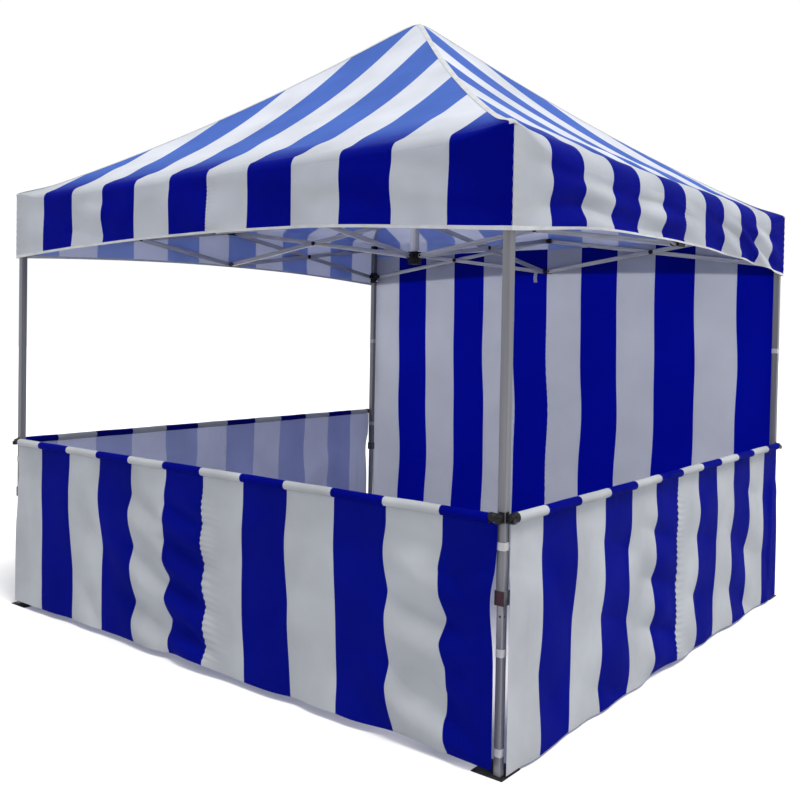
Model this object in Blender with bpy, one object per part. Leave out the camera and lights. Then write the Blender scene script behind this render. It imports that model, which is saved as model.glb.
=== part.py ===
"""Pop-up canopy: a square folding frame on four telescoping legs, with a pyramid
cover, three half walls on rails and one full wall.

Metres, +Z up. The origin is on the ground, midway between the four feet. The front
faces -Y. Side k is side 0 (the front) turned by k quarter turns about +Z, and corner k
is the corner that side k runs towards, so one side and one corner describe all four.
"""
import math

import bpy
from mathutils import Matrix, Vector

# Driving dimensions of the open frame.
LEG = 1.480                # from the middle of a side to its leg's centre line
TOP_Z = 2.107              # upper pivots: hub, middle brackets and leg tops
BOTTOM_Z = 1.903           # lower pivots: lower hub, middle brackets and sliders
HUB_PIVOT = 0.042          # from the hub's centre to its pivots
MID_SIDE = 0.026           # from the middle of a side to a middle bracket's side pivots
MID_IN = 0.028             # from the side's plane in to the middle bracket's spoke pivot
LEG_IN = 0.044             # from a leg's centre to the pivots beside it
LEG_BASE_Z = 0.577         # lower end of the outer leg's collar
INNER_TOP_Z = 0.830        # upper end of the inner leg when it is fully drawn out

# Sections.
OUTER_HALF = 0.0150        # outer leg tube
OUTER_BORE = 0.0137
INNER_HALF = 0.0125        # inner leg tube
INNER_BORE = 0.0113
POLE_HALF = 0.0110         # peak pole tube
POLE_BORE = 0.0098
BAR_WIDE = 0.0125          # half the depth of a bar, and the radius of its round ends
BAR_WALL = 0.0010
LAYER_NEAR = 0.0005        # the two layers that crossing bars lie in, either side
LAYER_FAR = 0.0125         # of the truss's middle plane
GAP = 0.0003               # between pieces that touch
PIN_R = 0.0040
PIN_HOLE_R = 0.0047        # with eight sides, its flats still clear the pin
PIN_HEAD_R = 0.0070
PIN_END = 0.0148           # a pin's head ends here, measured from the middle plane

# Rails and cloth.
RAIL_Z = 0.872
RAIL_OUT = 0.0295          # from the leg's centre line out to the rail's axis
RAIL_R = 0.0125
RAIL_BORE = 0.0113
RAIL_HALF = 1.488          # half the rail's length, without its end caps
OUT_REACH = 0.0465         # how far hooks and walls stand out from the leg centre line
CLOTH = 0.0012
EAVE_Z = 2.157
PEAK_Z = 3.165
COVER_HALF = 1.506         # from the middle to the valance's outer face
VALANCE_Z = 1.838          # lower edge of the valance
ROOF_SAG = 0.062           # how far the roof hangs below a straight slope, halfway up
GROUND_CLEAR = 0.012       # lower edge of the walls above the ground
WALL_HALF = 1.455          # half the width of a wall

SPAN = LEG - MID_SIDE - LEG_IN
RISE = TOP_Z - BOTTOM_Z
BAR = math.hypot(SPAN, RISE)
SLOPE = math.atan2(RISE, SPAN)
ROUND = 8                  # sides of a pin or a hole
RAIL_SIDES = 12            # sides of a rail and its sleeve

SIDES = ("front", "right", "back", "left")
CORNERS = ("front_right", "back_right", "back_left", "front_left")

SILVER = ("frame_silver", (0.62, 0.63, 0.64), 0.42, 0.9)
INNER_SILVER = ("inner_leg_silver", (0.66, 0.67, 0.68), 0.38, 0.9)
BLACK = ("bracket_black", (0.02, 0.02, 0.022), 0.5, 0.0)
STEEL = ("bright_steel", (0.7, 0.7, 0.7), 0.3, 1.0)
RAIL_METAL = ("rail_metal", (0.6, 0.61, 0.62), 0.4, 0.9)
COVER_CLOTH = ("cover_cloth", (0.05, 0.09, 0.55), 0.8, 0.0)
WALL_CLOTH = ("wall_cloth", (0.75, 0.76, 0.80), 0.8, 0.0)


def clear_scene():
    for item in list(bpy.data.objects):
        bpy.data.objects.remove(item, do_unlink=True)


def material(name, look):
    """One Principled material for each object, from a (name, colour, roughness, metal) look."""
    made = bpy.data.materials.new(name + "_" + look[0])
    made.use_nodes = True
    shader = made.node_tree.nodes["Principled BSDF"]
    shader.inputs["Base Color"].default_value = (*look[1], 1.0)
    shader.inputs["Roughness"].default_value = look[2]
    shader.inputs["Metallic"].default_value = look[3]
    made.diffuse_color = (*look[1], 1.0)
    return made


# Solids. Each returns (points, faces) with the faces pointing out.

def prism(outline, low, high):
    """An anticlockwise (x, y) outline, extruded from z = low to z = high."""
    count = len(outline)
    points = [(x, y, low) for x, y in outline] + [(x, y, high) for x, y in outline]
    faces = [tuple(reversed(range(count))), tuple(range(count, 2 * count))]
    faces += [(i, (i + 1) % count, count + (i + 1) % count, count + i) for i in range(count)]
    return points, faces


def box(x, y, z):
    """A box between the (low, high) pairs x, y and z."""
    return prism([(x[0], y[0]), (x[1], y[0]), (x[1], y[1]), (x[0], y[1])], z[0], z[1])


def square(half, z):
    """An upright square bar about the z axis."""
    return box((-half, half), (-half, half), z)


def turned(solid, matrix):
    points, faces = solid
    return [tuple(matrix @ Vector(p)) for p in points], faces


def arc(x, z, radius, start, stop, steps):
    """Points on an arc about (x, z), from start to stop degrees."""
    angles = [math.radians(start + (stop - start) * i / steps) for i in range(steps + 1)]
    return [(x + radius * math.cos(a), z + radius * math.sin(a)) for a in angles]


def slab(outline, y):
    """An anticlockwise (x, z) outline, extruded along y between the (low, high) pair y."""
    lay_down = Matrix.Translation((0.0, y[1], 0.0)) @ Matrix.Rotation(math.pi / 2, 4, "X")
    return turned(prism(outline, 0.0, y[1] - y[0]), lay_down)


def rod(radius, x, z, y, sides=ROUND):
    """A round rod along y between the (low, high) pair y, centred on (x, z)."""
    return slab(arc(x, z, radius, 0.0, 360.0 * (sides - 1) / sides, sides - 1), y)


def quarter(k):
    """The turn about +Z from side or corner 0 to side or corner k."""
    return Matrix.Rotation(k * math.pi / 2, 4, "Z")


def mesh_of(solid):
    mesh = bpy.data.meshes.new("solid")
    mesh.from_pydata([tuple(p) for p in solid[0]], [], solid[1])
    mesh.validate()
    return mesh


def shape(adds, cuts=()):
    """One mesh: the first solid, with the other adds joined to it and the cuts taken away."""
    body = bpy.data.objects.new("body", mesh_of(adds[0]))
    bpy.context.scene.collection.objects.link(body)
    steps = [(solid, "UNION") for solid in adds[1:]] + [(solid, "DIFFERENCE") for solid in cuts]
    tools = []
    for solid, operation in steps:
        tool = bpy.data.objects.new("tool", mesh_of(solid))
        tool.hide_render = True
        tool.display_type = "WIRE"
        bpy.context.scene.collection.objects.link(tool)
        tools.append(tool)
        modifier = body.modifiers.new("step", "BOOLEAN")
        modifier.operation = operation
        modifier.object = tool
    depsgraph = bpy.context.evaluated_depsgraph_get()
    result = bpy.data.meshes.new_from_object(body.evaluated_get(depsgraph))
    for item in [body] + tools:
        bpy.data.objects.remove(item, do_unlink=True)
    result.materials.clear()
    result.shade_smooth()
    result.set_sharp_from_angle(angle=math.radians(35))
    return result


def place(name, mesh, look, matrix=None):
    """Adds one named node, with its origin where the matrix puts it."""
    item = bpy.data.objects.new(name, mesh.copy())
    item.data.name = name
    item.data.materials.append(material(name, look))
    bpy.context.scene.collection.objects.link(item)
    item.matrix_world = matrix or Matrix.Identity(4)
    return item


# The layers. In a truss's own frame, x runs along the truss, z is up, layer A is the
# bars at negative y and layer B the bars at positive y. A lug lies in the layer that its
# bar doesn't, and its pin reaches through the bar.
LAYER_A = (-LAYER_FAR, -LAYER_NEAR)
LAYER_B = (LAYER_NEAR, LAYER_FAR)


def pin_into(layer, x, z):
    """A pin that starts inside the opposite layer's lug and ends in a head past the bar."""
    if layer == LAYER_B:
        return [rod(PIN_R, x, z, (-0.0065, PIN_END - 0.001)),
                rod(PIN_HEAD_R, x, z, (LAYER_FAR + GAP, PIN_END))]
    return [rod(PIN_R, x, z, (-PIN_END + 0.001, 0.0065)),
            rod(PIN_HEAD_R, x, z, (-PIN_END, -LAYER_FAR - GAP))]


def lug(bar_layer, pivot, root, z=0.0):
    """A lug from x = root to a round end about x = pivot, with its pin."""
    layer = LAYER_A if bar_layer == LAYER_B else LAYER_B
    if pivot < root:
        outline = [(root, z - BAR_WIDE), (root, z + BAR_WIDE)]
        outline += arc(pivot, z, BAR_WIDE, 90, 270, ROUND // 2)
    else:
        outline = arc(pivot, z, BAR_WIDE, -90, 90, ROUND // 2)
        outline += [(root, z + BAR_WIDE), (root, z - BAR_WIDE)]
    return [slab(outline, layer)] + pin_into(bar_layer, pivot, z)


def bar(layer, start):
    """A hollow bar of length BAR along x from x = start, with round ends and pivot holes."""
    end = start + BAR
    middle = start + BAR / 2
    low, high = layer
    inside = (low + BAR_WALL, high - BAR_WALL)
    depth = BAR_WIDE - BAR_WALL
    outline = arc(end, 0.0, BAR_WIDE, -90, 90, ROUND // 2)
    outline += arc(start, 0.0, BAR_WIDE, 90, 270, ROUND // 2)
    adds = [slab(outline, layer)]
    cuts = [
        box((start - 0.0017, end + 0.0017), inside, (-depth, depth)),
        rod(PIN_HOLE_R, start, 0.0, (low - 0.002, high + 0.002)),
        rod(PIN_HOLE_R, end, 0.0, (low - 0.002, high + 0.002)),
    ]
    if layer == LAYER_B:
        cuts.append(rod(PIN_HOLE_R, middle, 0.0, (low - 0.002, high + 0.002)))
        return shape(adds, cuts)
    hollow = shape(adds, cuts)
    crossing = [rod(PIN_R, middle, 0.0, (low + 0.0005, PIN_END - 0.001)),
                rod(PIN_HEAD_R, middle, 0.0, (LAYER_FAR + GAP, PIN_END))]
    return joined(hollow, crossing)


def joined(mesh, adds):
    """A finished mesh with more solids joined to it."""
    points = [tuple(v.co) for v in mesh.vertices]
    faces = [tuple(p.vertices) for p in mesh.polygons]
    return shape([(points, faces)] + adds)


def truss_bars():
    """Two shapes of each bar: with its origin at one end, and at its crossing pivot."""
    return {
        "a_end": bar(LAYER_A, 0.0),
        "a_middle": bar(LAYER_A, -BAR / 2),
        "b_end": bar(LAYER_B, 0.0),
        "b_middle": bar(LAYER_B, -BAR / 2),
    }


def side_frame(k):
    """x along side k towards corner k, y inwards, on the leg centre line."""
    return quarter(k) @ Matrix.Translation((0.0, -LEG, 0.0))


def spoke_frame(k):
    """x outwards from the hub towards the middle of side k, y across the spoke."""
    return quarter(k) @ Matrix.Rotation(-math.pi / 2, 4, "Z")


def aimed(x, z, angle):
    """A place in a truss's frame, with its x axis turned down by angle."""
    return Matrix.Translation((x, 0.0, z)) @ Matrix.Rotation(angle, 4, "Y")


def add_side_bars(k, bars):
    """Four bars to a side: two crossing pairs, one on each side of the middle."""
    frame = side_frame(k)
    middle = MID_SIDE + SPAN / 2
    middle_z = (TOP_Z + BOTTOM_Z) / 2
    flip = math.pi
    for half, sign, fall, climb in (
        ("end", 1, SLOPE, -SLOPE),
        ("start", -1, flip - SLOPE, flip + SLOPE),
    ):
        falling = frame @ aimed(sign * MID_SIDE, TOP_Z, fall)
        climbing = frame @ aimed(sign * middle, middle_z, climb)
        place(f"bar_{SIDES[k]}_{half}_outer", bars["a_end"], SILVER, falling)
        place(f"bar_{SIDES[k]}_{half}_inner", bars["b_middle"], SILVER, climbing)


def add_spoke_bars(k, bars):
    """The crossing pair between the hubs and the middle of side k."""
    frame = spoke_frame(k)
    middle_z = (TOP_Z + BOTTOM_Z) / 2
    falling = frame @ aimed(HUB_PIVOT, TOP_Z, SLOPE)
    climbing = frame @ aimed(HUB_PIVOT + SPAN / 2, middle_z, -SLOPE)
    place(f"spoke_down_{SIDES[k]}", bars["b_end"], SILVER, falling)
    place(f"spoke_up_{SIDES[k]}", bars["a_middle"], SILVER, climbing)


def add_middle_brackets():
    """The upper and lower bracket at the middle of each side."""
    reach = MID_SIDE + 0.0115
    half_high = 0.0145
    into_spoke = Matrix.Rotation(math.pi / 2, 4, "Z")
    upper = [box((-reach, reach), LAYER_B, (-half_high, half_high))]
    lower = [box((-reach, reach), LAYER_A, (-half_high, half_high))]
    for x in (-MID_SIDE, MID_SIDE):
        upper += pin_into(LAYER_A, x, 0.0)
        lower += pin_into(LAYER_B, x, 0.0)
    # Turned a quarter, a lug along x lies along the spoke, with layer A on the +x side.
    upper += [turned(s, into_spoke) for s in lug(LAYER_B, MID_IN, LAYER_FAR - 0.001)]
    lower += [turned(s, into_spoke) for s in lug(LAYER_A, MID_IN, -LAYER_NEAR - 0.003)]
    upper_mesh = shape(upper)
    lower_mesh = shape(lower)
    for k in range(4):
        raised = side_frame(k) @ Matrix.Translation((0.0, 0.0, TOP_Z))
        lowered = side_frame(k) @ Matrix.Translation((0.0, 0.0, BOTTOM_Z))
        place(f"middle_bracket_top_{SIDES[k]}", upper_mesh, BLACK, raised)
        place(f"middle_bracket_bottom_{SIDES[k]}", lower_mesh, BLACK, lowered)


def add_hubs():
    """The two hubs, the peak pole that slides through the upper one, and its cap."""
    core = 0.027
    guide = 0.0165
    slack = POLE_HALF + 0.0006
    upper = [square(core, (TOP_Z - 0.020, TOP_Z + 0.023)),
             square(guide, (BOTTOM_Z + 0.032, TOP_Z - 0.018))]
    lower = [square(core, (BOTTOM_Z - 0.047, BOTTOM_Z + 0.022))]
    for k in range(4):
        upper += [turned(s, spoke_frame(k)) for s in lug(LAYER_B, HUB_PIVOT, core - 0.002, TOP_Z)]
        lower += [turned(s, spoke_frame(k)) for s in lug(LAYER_A, HUB_PIVOT, core - 0.002, BOTTOM_Z)]
    socket = POLE_HALF + GAP
    floor_z = BOTTOM_Z - 0.033
    place("upper_hub", shape(upper, [square(slack, (BOTTOM_Z, TOP_Z + 0.05))]), BLACK)
    place("lower_hub", shape(lower, [square(socket, (floor_z, BOTTOM_Z + 0.05))]), BLACK)
    pole_top = PEAK_Z - 0.045
    pole = shape([square(POLE_HALF, (floor_z + GAP, pole_top))],
                 [square(POLE_BORE, (floor_z - 0.01, pole_top + 0.01))])
    place("peak_pole", pole, SILVER)
    spigot = square(POLE_BORE - GAP, (pole_top - 0.030, pole_top + 0.004))
    head = square(POLE_HALF, (pole_top + GAP, pole_top + 0.016))
    dome = [square(POLE_HALF - 0.0035, (pole_top + 0.010, pole_top + 0.022))]
    place("peak_cap", shape([head, spigot] + dome), BLACK)


def rail_hook(low, high):
    """An open-topped hook on the leg's -y face for a rail along x, from x = low to high."""
    inner = -RAIL_OUT + RAIL_R + GAP
    outer = -RAIL_OUT - RAIL_R - 0.0005
    outside = -OUT_REACH
    root = -OUTER_HALF + 0.0005
    seat = RAIL_Z - RAIL_R - GAP
    base = seat - 0.006
    top = RAIL_Z + 0.018
    # The outline is drawn in (y, z), and a quarter turn sweeps it along x.
    outline = [
        (outside, base), (root, base), (root, top), (inner, top),
        (inner, seat), (outer, seat), (outer, RAIL_Z), (outside, RAIL_Z),
    ]
    return [turned(slab(outline, (-high, -low)), quarter(1))]


def add_outer_leg(k, has_end_hook, has_start_hook):
    """An outer leg with its top bracket, collar and rail hooks, about its centre line."""
    next_side = quarter(1)
    collar = 0.0185
    adds = [
        square(OUTER_HALF, (LEG_BASE_Z + 0.010, TOP_Z + 0.020)),
        square(collar, (LEG_BASE_Z, LEG_BASE_Z + 0.050)),
        square(OUTER_HALF + 0.002, (TOP_Z - 0.024, TOP_Z + 0.032)),
    ]
    adds += lug(LAYER_B, -LEG_IN, -OUTER_HALF + 0.001, TOP_Z)
    adds += [turned(s, next_side) for s in lug(LAYER_B, LEG_IN, OUTER_HALF - 0.001, TOP_Z)]
    if has_end_hook:
        adds += rail_hook(-0.007, 0.013)
    if has_start_hook:
        adds += [turned(s, next_side) for s in rail_hook(-0.013, 0.007)]
    mesh = shape(adds, [square(OUTER_BORE, (LEG_BASE_Z - 0.02, TOP_Z + 0.006))])
    leg_place = quarter(k) @ Matrix.Translation((LEG, -LEG, 0.0))
    place(f"outer_leg_{CORNERS[k]}", mesh, SILVER, leg_place)


def add_inner_legs():
    """The inner legs, each with its foot plate and the two holes of its height lock."""
    foot_in = 0.090
    foot_out = 0.032
    thick = 0.004
    adds = [
        box((-foot_in, foot_out), (-foot_out, foot_in), (0.0, thick)),
        square(INNER_HALF, (thick - 0.001, INNER_TOP_Z)),
    ]
    cuts = [
        square(INNER_BORE, (thick + 0.001, INNER_TOP_Z + 0.02)),
        rod(0.004, 0.0, 0.540, (-0.05, 0.0)),
        turned(rod(0.004, 0.0, 0.540, (-0.05, 0.0)), quarter(1)),
    ]
    mesh = shape(adds, cuts)
    for k in range(4):
        leg_place = quarter(k) @ Matrix.Translation((LEG, -LEG, 0.0))
        place(f"inner_leg_{CORNERS[k]}", mesh, INNER_SILVER, leg_place)


def add_sliders():
    """The sliders, which hug the legs' inner faces, and their pull pins."""
    near = OUTER_HALF + GAP
    far = near + 0.0052
    lip = near + 0.0013        # thin enough to pass behind the rails
    low, high = -0.045, 0.030
    pin_z = -0.031
    boss_end = 0.030
    grip = 0.010
    channel = [
        (-far, -lip), (-grip, -lip), (-grip, -near), (-near, -near), (-near, near),
        (near, near), (near, grip), (lip, grip), (lip, far), (-far, far),
    ]
    adds = [
        prism(channel, low, high),
        turned(rod(0.009, 0.0, pin_z, (near + 0.002, boss_end)), quarter(1)),
    ]
    adds += lug(LAYER_A, -LEG_IN, -near - 0.002)
    adds += [turned(s, quarter(1)) for s in lug(LAYER_A, LEG_IN, near + 0.002)]
    hole = turned(rod(0.0033, 0.0, pin_z, (near - 0.005, 0.05)), quarter(1))
    mesh = shape(adds, [hole])
    pin = shape(
        [
            turned(rod(0.0030, 0.0, 0.0, (near + GAP, 0.036)), quarter(1)),
            turned(rod(0.0080, 0.0, 0.0, (0.0310, 0.0375)), quarter(1)),
            turned(rod(0.0050, 0.0, 0.0, (0.0365, 0.0430)), quarter(1)),
        ]
    )
    for k in range(4):
        corner = quarter(k) @ Matrix.Translation((LEG, -LEG, BOTTOM_Z))
        place(f"slider_{CORNERS[k]}", mesh, BLACK, corner)
        place(f"slider_pin_{CORNERS[k]}", pin, STEEL, corner @ Matrix.Translation((0, 0, pin_z)))


def add_rails():
    """The rails of the three half walls, with pierced end caps."""
    cap_r = 0.0122
    across = Matrix.Rotation(-math.pi / 2, 4, "Z")
    adds = [rod(RAIL_R, 0.0, 0.0, (-RAIL_HALF, RAIL_HALF), RAIL_SIDES)]
    for low, high in ((-RAIL_HALF - 0.003, -RAIL_HALF + 0.003),
                      (RAIL_HALF - 0.003, RAIL_HALF + 0.003)):
        adds.append(rod(cap_r, 0.0, 0.0, (low, high), RAIL_SIDES))
    cuts = [rod(RAIL_BORE, 0.0, 0.0, (-RAIL_HALF, RAIL_HALF)),
            rod(0.003, 0.0, 0.0, (-RAIL_HALF - 0.02, RAIL_HALF + 0.02))]
    mesh = shape([turned(s, across) for s in adds], [turned(s, across) for s in cuts])
    for k in (0, 1, 3):
        rail_place = side_frame(k) @ Matrix.Translation((0.0, -RAIL_OUT, RAIL_Z))
        place(f"rail_{SIDES[k]}", mesh, RAIL_METAL, rail_place)


def add_half_walls():
    """Three cloth panels, each hanging from a sleeve around its rail."""
    across = Matrix.Rotation(-math.pi / 2, 4, "Z")
    sleeve_in = RAIL_R + 0.0010
    sleeve_out = sleeve_in + CLOTH
    width = (-WALL_HALF, WALL_HALF)
    sleeve = turned(rod(sleeve_out, 0.0, 0.0, width, RAIL_SIDES), across)
    panel = box(width, (-CLOTH / 2, CLOTH / 2), (GROUND_CLEAR - RAIL_Z, -sleeve_in))
    tunnel = turned(rod(sleeve_in, 0.0, 0.0, (-2.0, 2.0), RAIL_SIDES), across)
    mesh = shape([sleeve, panel], [tunnel])
    for k in (0, 1, 3):
        rail_place = side_frame(k) @ Matrix.Translation((0.0, -RAIL_OUT, RAIL_Z))
        place(f"half_wall_{SIDES[k]}", mesh, WALL_CLOTH, rail_place)


def add_full_wall():
    """The back wall: one sheet from the truss to the ground, standing off at its foot."""
    line = [(0.0209, 2.055), (0.0209, VALANCE_Z - 0.02), (OUT_REACH, GROUND_CLEAR)]
    outline = [(y, z) for y, z in line] + [(y - CLOTH, z) for y, z in reversed(line)]
    # The outline is drawn in (y, z) and swept along x.
    upright = Matrix(((0, 0, 1, 0), (1, 0, 0, 0), (0, 1, 0, 0), (0, 0, 0, 1)))
    points, faces = prism(outline, -1.49, 1.49)
    swept = [tuple(upright @ Vector(p)) for p in points]
    faces = [tuple(reversed(f)) for f in faces]
    mesh = mesh_of((swept, faces))
    place("full_wall_back", mesh, WALL_CLOTH, Matrix.Translation((0.0, LEG, 0.0)))


def roof_height(share):
    """Height of the roof at a share of the way from the peak to the eave."""
    drop = PEAK_Z - EAVE_Z
    return PEAK_Z - drop * share - 4 * ROOF_SAG * share * (1 - share)


def add_canopy():
    """The cover: a sagging square pyramid with a straight valance, as one thin shell."""
    shares = (0.02, 0.12, 0.25, 0.40, 0.55, 0.70, 0.85, 1.0)
    around = [(-1, -1), (0, -1), (1, -1), (1, 0), (1, 1), (0, 1), (-1, 1), (-1, 0)]
    points = []
    for inset in (0.0, CLOTH):
        half = COVER_HALF - inset
        points.append((0.0, 0.0, roof_height(0.0) - inset))
        for share in shares:
            z = roof_height(share) - inset * 1.1
            points += [(x * share * half, y * share * half, z) for x, y in around]
        points += [(x * half, y * half, VALANCE_Z) for x, y in around]
    rings = len(shares) + 1
    layer = 1 + rings * 8
    faces = []
    for start, outward in ((0, True), (layer, False)):
        sheet = [(start, start + 1 + i, start + 1 + (i + 1) % 8) for i in range(8)]
        for ring in range(rings - 1):
            low = start + 1 + ring * 8
            sheet += [(low + i, low + 8 + i, low + 8 + (i + 1) % 8, low + (i + 1) % 8)
                      for i in range(8)]
        faces += sheet if outward else [tuple(reversed(f)) for f in sheet]
    rim = 1 + (rings - 1) * 8
    faces += [(rim + i, layer + rim + i, layer + rim + (i + 1) % 8, rim + (i + 1) % 8)
              for i in range(8)]
    place("canopy", mesh_of((points, faces)), COVER_CLOTH)


def main():
    clear_scene()
    bars = truss_bars()
    for k in range(4):
        add_side_bars(k, bars)
        add_spoke_bars(k, bars)
    add_middle_brackets()
    add_hubs()
    # Corner: whether it holds the end of its own side's rail, and the start of the next one's.
    hooks = ((True, True), (True, False), (False, True), (True, True))
    for k, (has_end_hook, has_start_hook) in enumerate(hooks):
        add_outer_leg(k, has_end_hook, has_start_hook)
    add_inner_legs()
    add_sliders()
    add_rails()
    add_half_walls()
    add_full_wall()
    add_canopy()


main()
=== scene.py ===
"""The looks of the pop-up canopy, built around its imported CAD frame."""
import math

import bmesh
import bpy
import numpy as np
from mathutils import Matrix, Vector


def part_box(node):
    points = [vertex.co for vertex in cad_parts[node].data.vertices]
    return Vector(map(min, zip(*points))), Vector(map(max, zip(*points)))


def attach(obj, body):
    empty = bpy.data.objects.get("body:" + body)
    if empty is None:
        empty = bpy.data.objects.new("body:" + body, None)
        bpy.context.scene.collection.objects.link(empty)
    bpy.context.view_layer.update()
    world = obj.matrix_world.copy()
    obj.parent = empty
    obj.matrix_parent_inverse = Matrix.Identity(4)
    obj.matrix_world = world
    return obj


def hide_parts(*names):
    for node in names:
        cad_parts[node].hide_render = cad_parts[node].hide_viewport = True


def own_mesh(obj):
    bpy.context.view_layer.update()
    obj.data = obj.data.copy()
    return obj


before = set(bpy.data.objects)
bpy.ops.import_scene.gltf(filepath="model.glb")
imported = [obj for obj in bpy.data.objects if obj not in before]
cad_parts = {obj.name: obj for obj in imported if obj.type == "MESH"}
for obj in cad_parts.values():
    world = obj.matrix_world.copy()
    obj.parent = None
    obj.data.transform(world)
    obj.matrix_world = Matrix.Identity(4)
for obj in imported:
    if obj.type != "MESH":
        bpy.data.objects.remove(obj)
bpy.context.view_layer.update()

SIDES = ("front", "right", "back", "left")
CORNERS = ("front_right", "back_right", "back_left", "front_left")

# Places and sizes in metres. Some are read from the frame; the numbers are measures of the CAD part too.
cover_low, cover_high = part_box("canopy")
HALF = cover_high.x  # middle to the valance's outer face
PEAK = cover_high.z
VALANCE = cover_low.z  # lower edge of the valance
LEG_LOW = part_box("outer_leg_front_right")[0].z
LEG = 1.480  # middle of a side to the leg's centre line
EAVE = 2.157  # height of the eave, before it is rounded
OUTER_HALF = 0.0150  # half the width of an outer leg
INNER_HALF = 0.0125  # and of an inner one
BAR_CROSSING = 0.731  # middle of a side to the bolt where its bars cross
SPOKE_CROSSING = 0.747  # middle of the canopy to the bolt where its spokes cross
CROSSING_Z = 2.005  # height of all these crossings
OWN_FACE = 0.0125  # from the crossing's middle to the outer face of the bar with the pin
PIN_END = 0.0148  # and to the end of its pin, past the other bar
rail_low, rail_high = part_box("rail_front")
RAIL_Z = (rail_low.z + rail_high.z) / 2
RAIL_Y = (rail_low.y + rail_high.y) / 2
RAIL_END = rail_high.x
WALL_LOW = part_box("half_wall_front")[0].z
full_low, full_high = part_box("full_wall_back")

STRIPE = 0.25  # width of a stripe
STRIPES = 12  # stripes to a side
SEAM_SIDE = STRIPES // 2  # stripes on each side of the middle seam
ROOF_SAG = 0.062  # how far the roof hangs below a straight slope
PEAK_ROUND = 0.022  # share of the slope that the peak's rounding takes
EAVE_ROUND = 0.014  # the eave's radius at its corners
EAVE_SLACK_REACH = 0.40  # from a corner to where the eave is at its roundest
SHOULDER = 0.020  # how far each leg lifts the eave at its corner
SHOULDER_REACH = 0.20  # how far from the corner it still does
CLOTH = 0.0011  # its thickness

# The cloth's UVs are in metres. Each side starts UV_SIDE further along than the one before it, and the
# parts of one side start at these heights.
UV_SIDE = 4.0
ROOF_V = 3.0
WALL_V = 9.0
SLEEVE_V = 10.2
FULL_WALL_V = 15.0


# ---------------- materials

class Look:
    """A Principled material with its nodes at hand."""

    def __init__(self, name, roughness, metallic=0.0):
        self.material = bpy.data.materials.new(name)
        self.material.use_nodes = True
        self.tree = self.material.node_tree
        self.shader = self.tree.nodes["Principled BSDF"]
        self.shader.inputs["Roughness"].default_value = roughness
        self.shader.inputs["Metallic"].default_value = metallic

    def node(self, kind, **settings):
        made = self.tree.nodes.new(kind)
        for key, value in settings.items():
            setattr(made, key, value)
        return made

    def link(self, source, target):
        self.tree.links.new(source, target)

    def noise(self, coordinates, scale, detail, stretch=None):
        """A noise texture's factor, on coordinates stretched by a vector."""
        source = coordinates
        if stretch:
            mapping = self.node("ShaderNodeMapping")
            mapping.inputs["Scale"].default_value = stretch
            self.link(coordinates, mapping.inputs["Vector"])
            source = mapping.outputs["Vector"]
        texture = self.node("ShaderNodeTexNoise")
        texture.inputs["Scale"].default_value = scale
        texture.inputs["Detail"].default_value = detail
        self.link(source, texture.inputs["Vector"])
        return texture.outputs["Fac"]

    def ramp(self, factor, low, high, start=0.3, end=0.7):
        """A colour ramp from low to high."""
        made = self.node("ShaderNodeValToRGB")
        made.color_ramp.elements[0].position = start
        made.color_ramp.elements[1].position = end
        made.color_ramp.elements[0].color = (*low, 1.0)
        made.color_ramp.elements[1].color = (*high, 1.0)
        self.link(factor, made.inputs["Fac"])
        return made.outputs["Color"]

    def values(self, factor, low, high, socket):
        """Sets a socket of the shader between two numbers by a factor."""
        made = self.node("ShaderNodeMapRange")
        made.inputs["To Min"].default_value = low
        made.inputs["To Max"].default_value = high
        self.link(factor, made.inputs["Value"])
        self.link(made.outputs["Result"], self.shader.inputs[socket])

    def bump(self, height, distance, strength, under=None):
        """A bump's normal, on top of the normal under it."""
        made = self.node("ShaderNodeBump")
        made.inputs["Distance"].default_value = distance
        made.inputs["Strength"].default_value = strength
        self.link(height, made.inputs["Height"])
        if under is not None:
            self.link(under, made.inputs["Normal"])
        return made.outputs["Normal"]


LIT_SLOPE_START, LIT_SLOPE_END = -0.02, 0.34  # where the painted light on the upper roof starts and ends, up the slope in UVs
WEAVE_SCALE = 260.0  # of the two crossed wave textures


def scaled(colour, by):
    return tuple(min(1.0, c * by) for c in colour)


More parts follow.
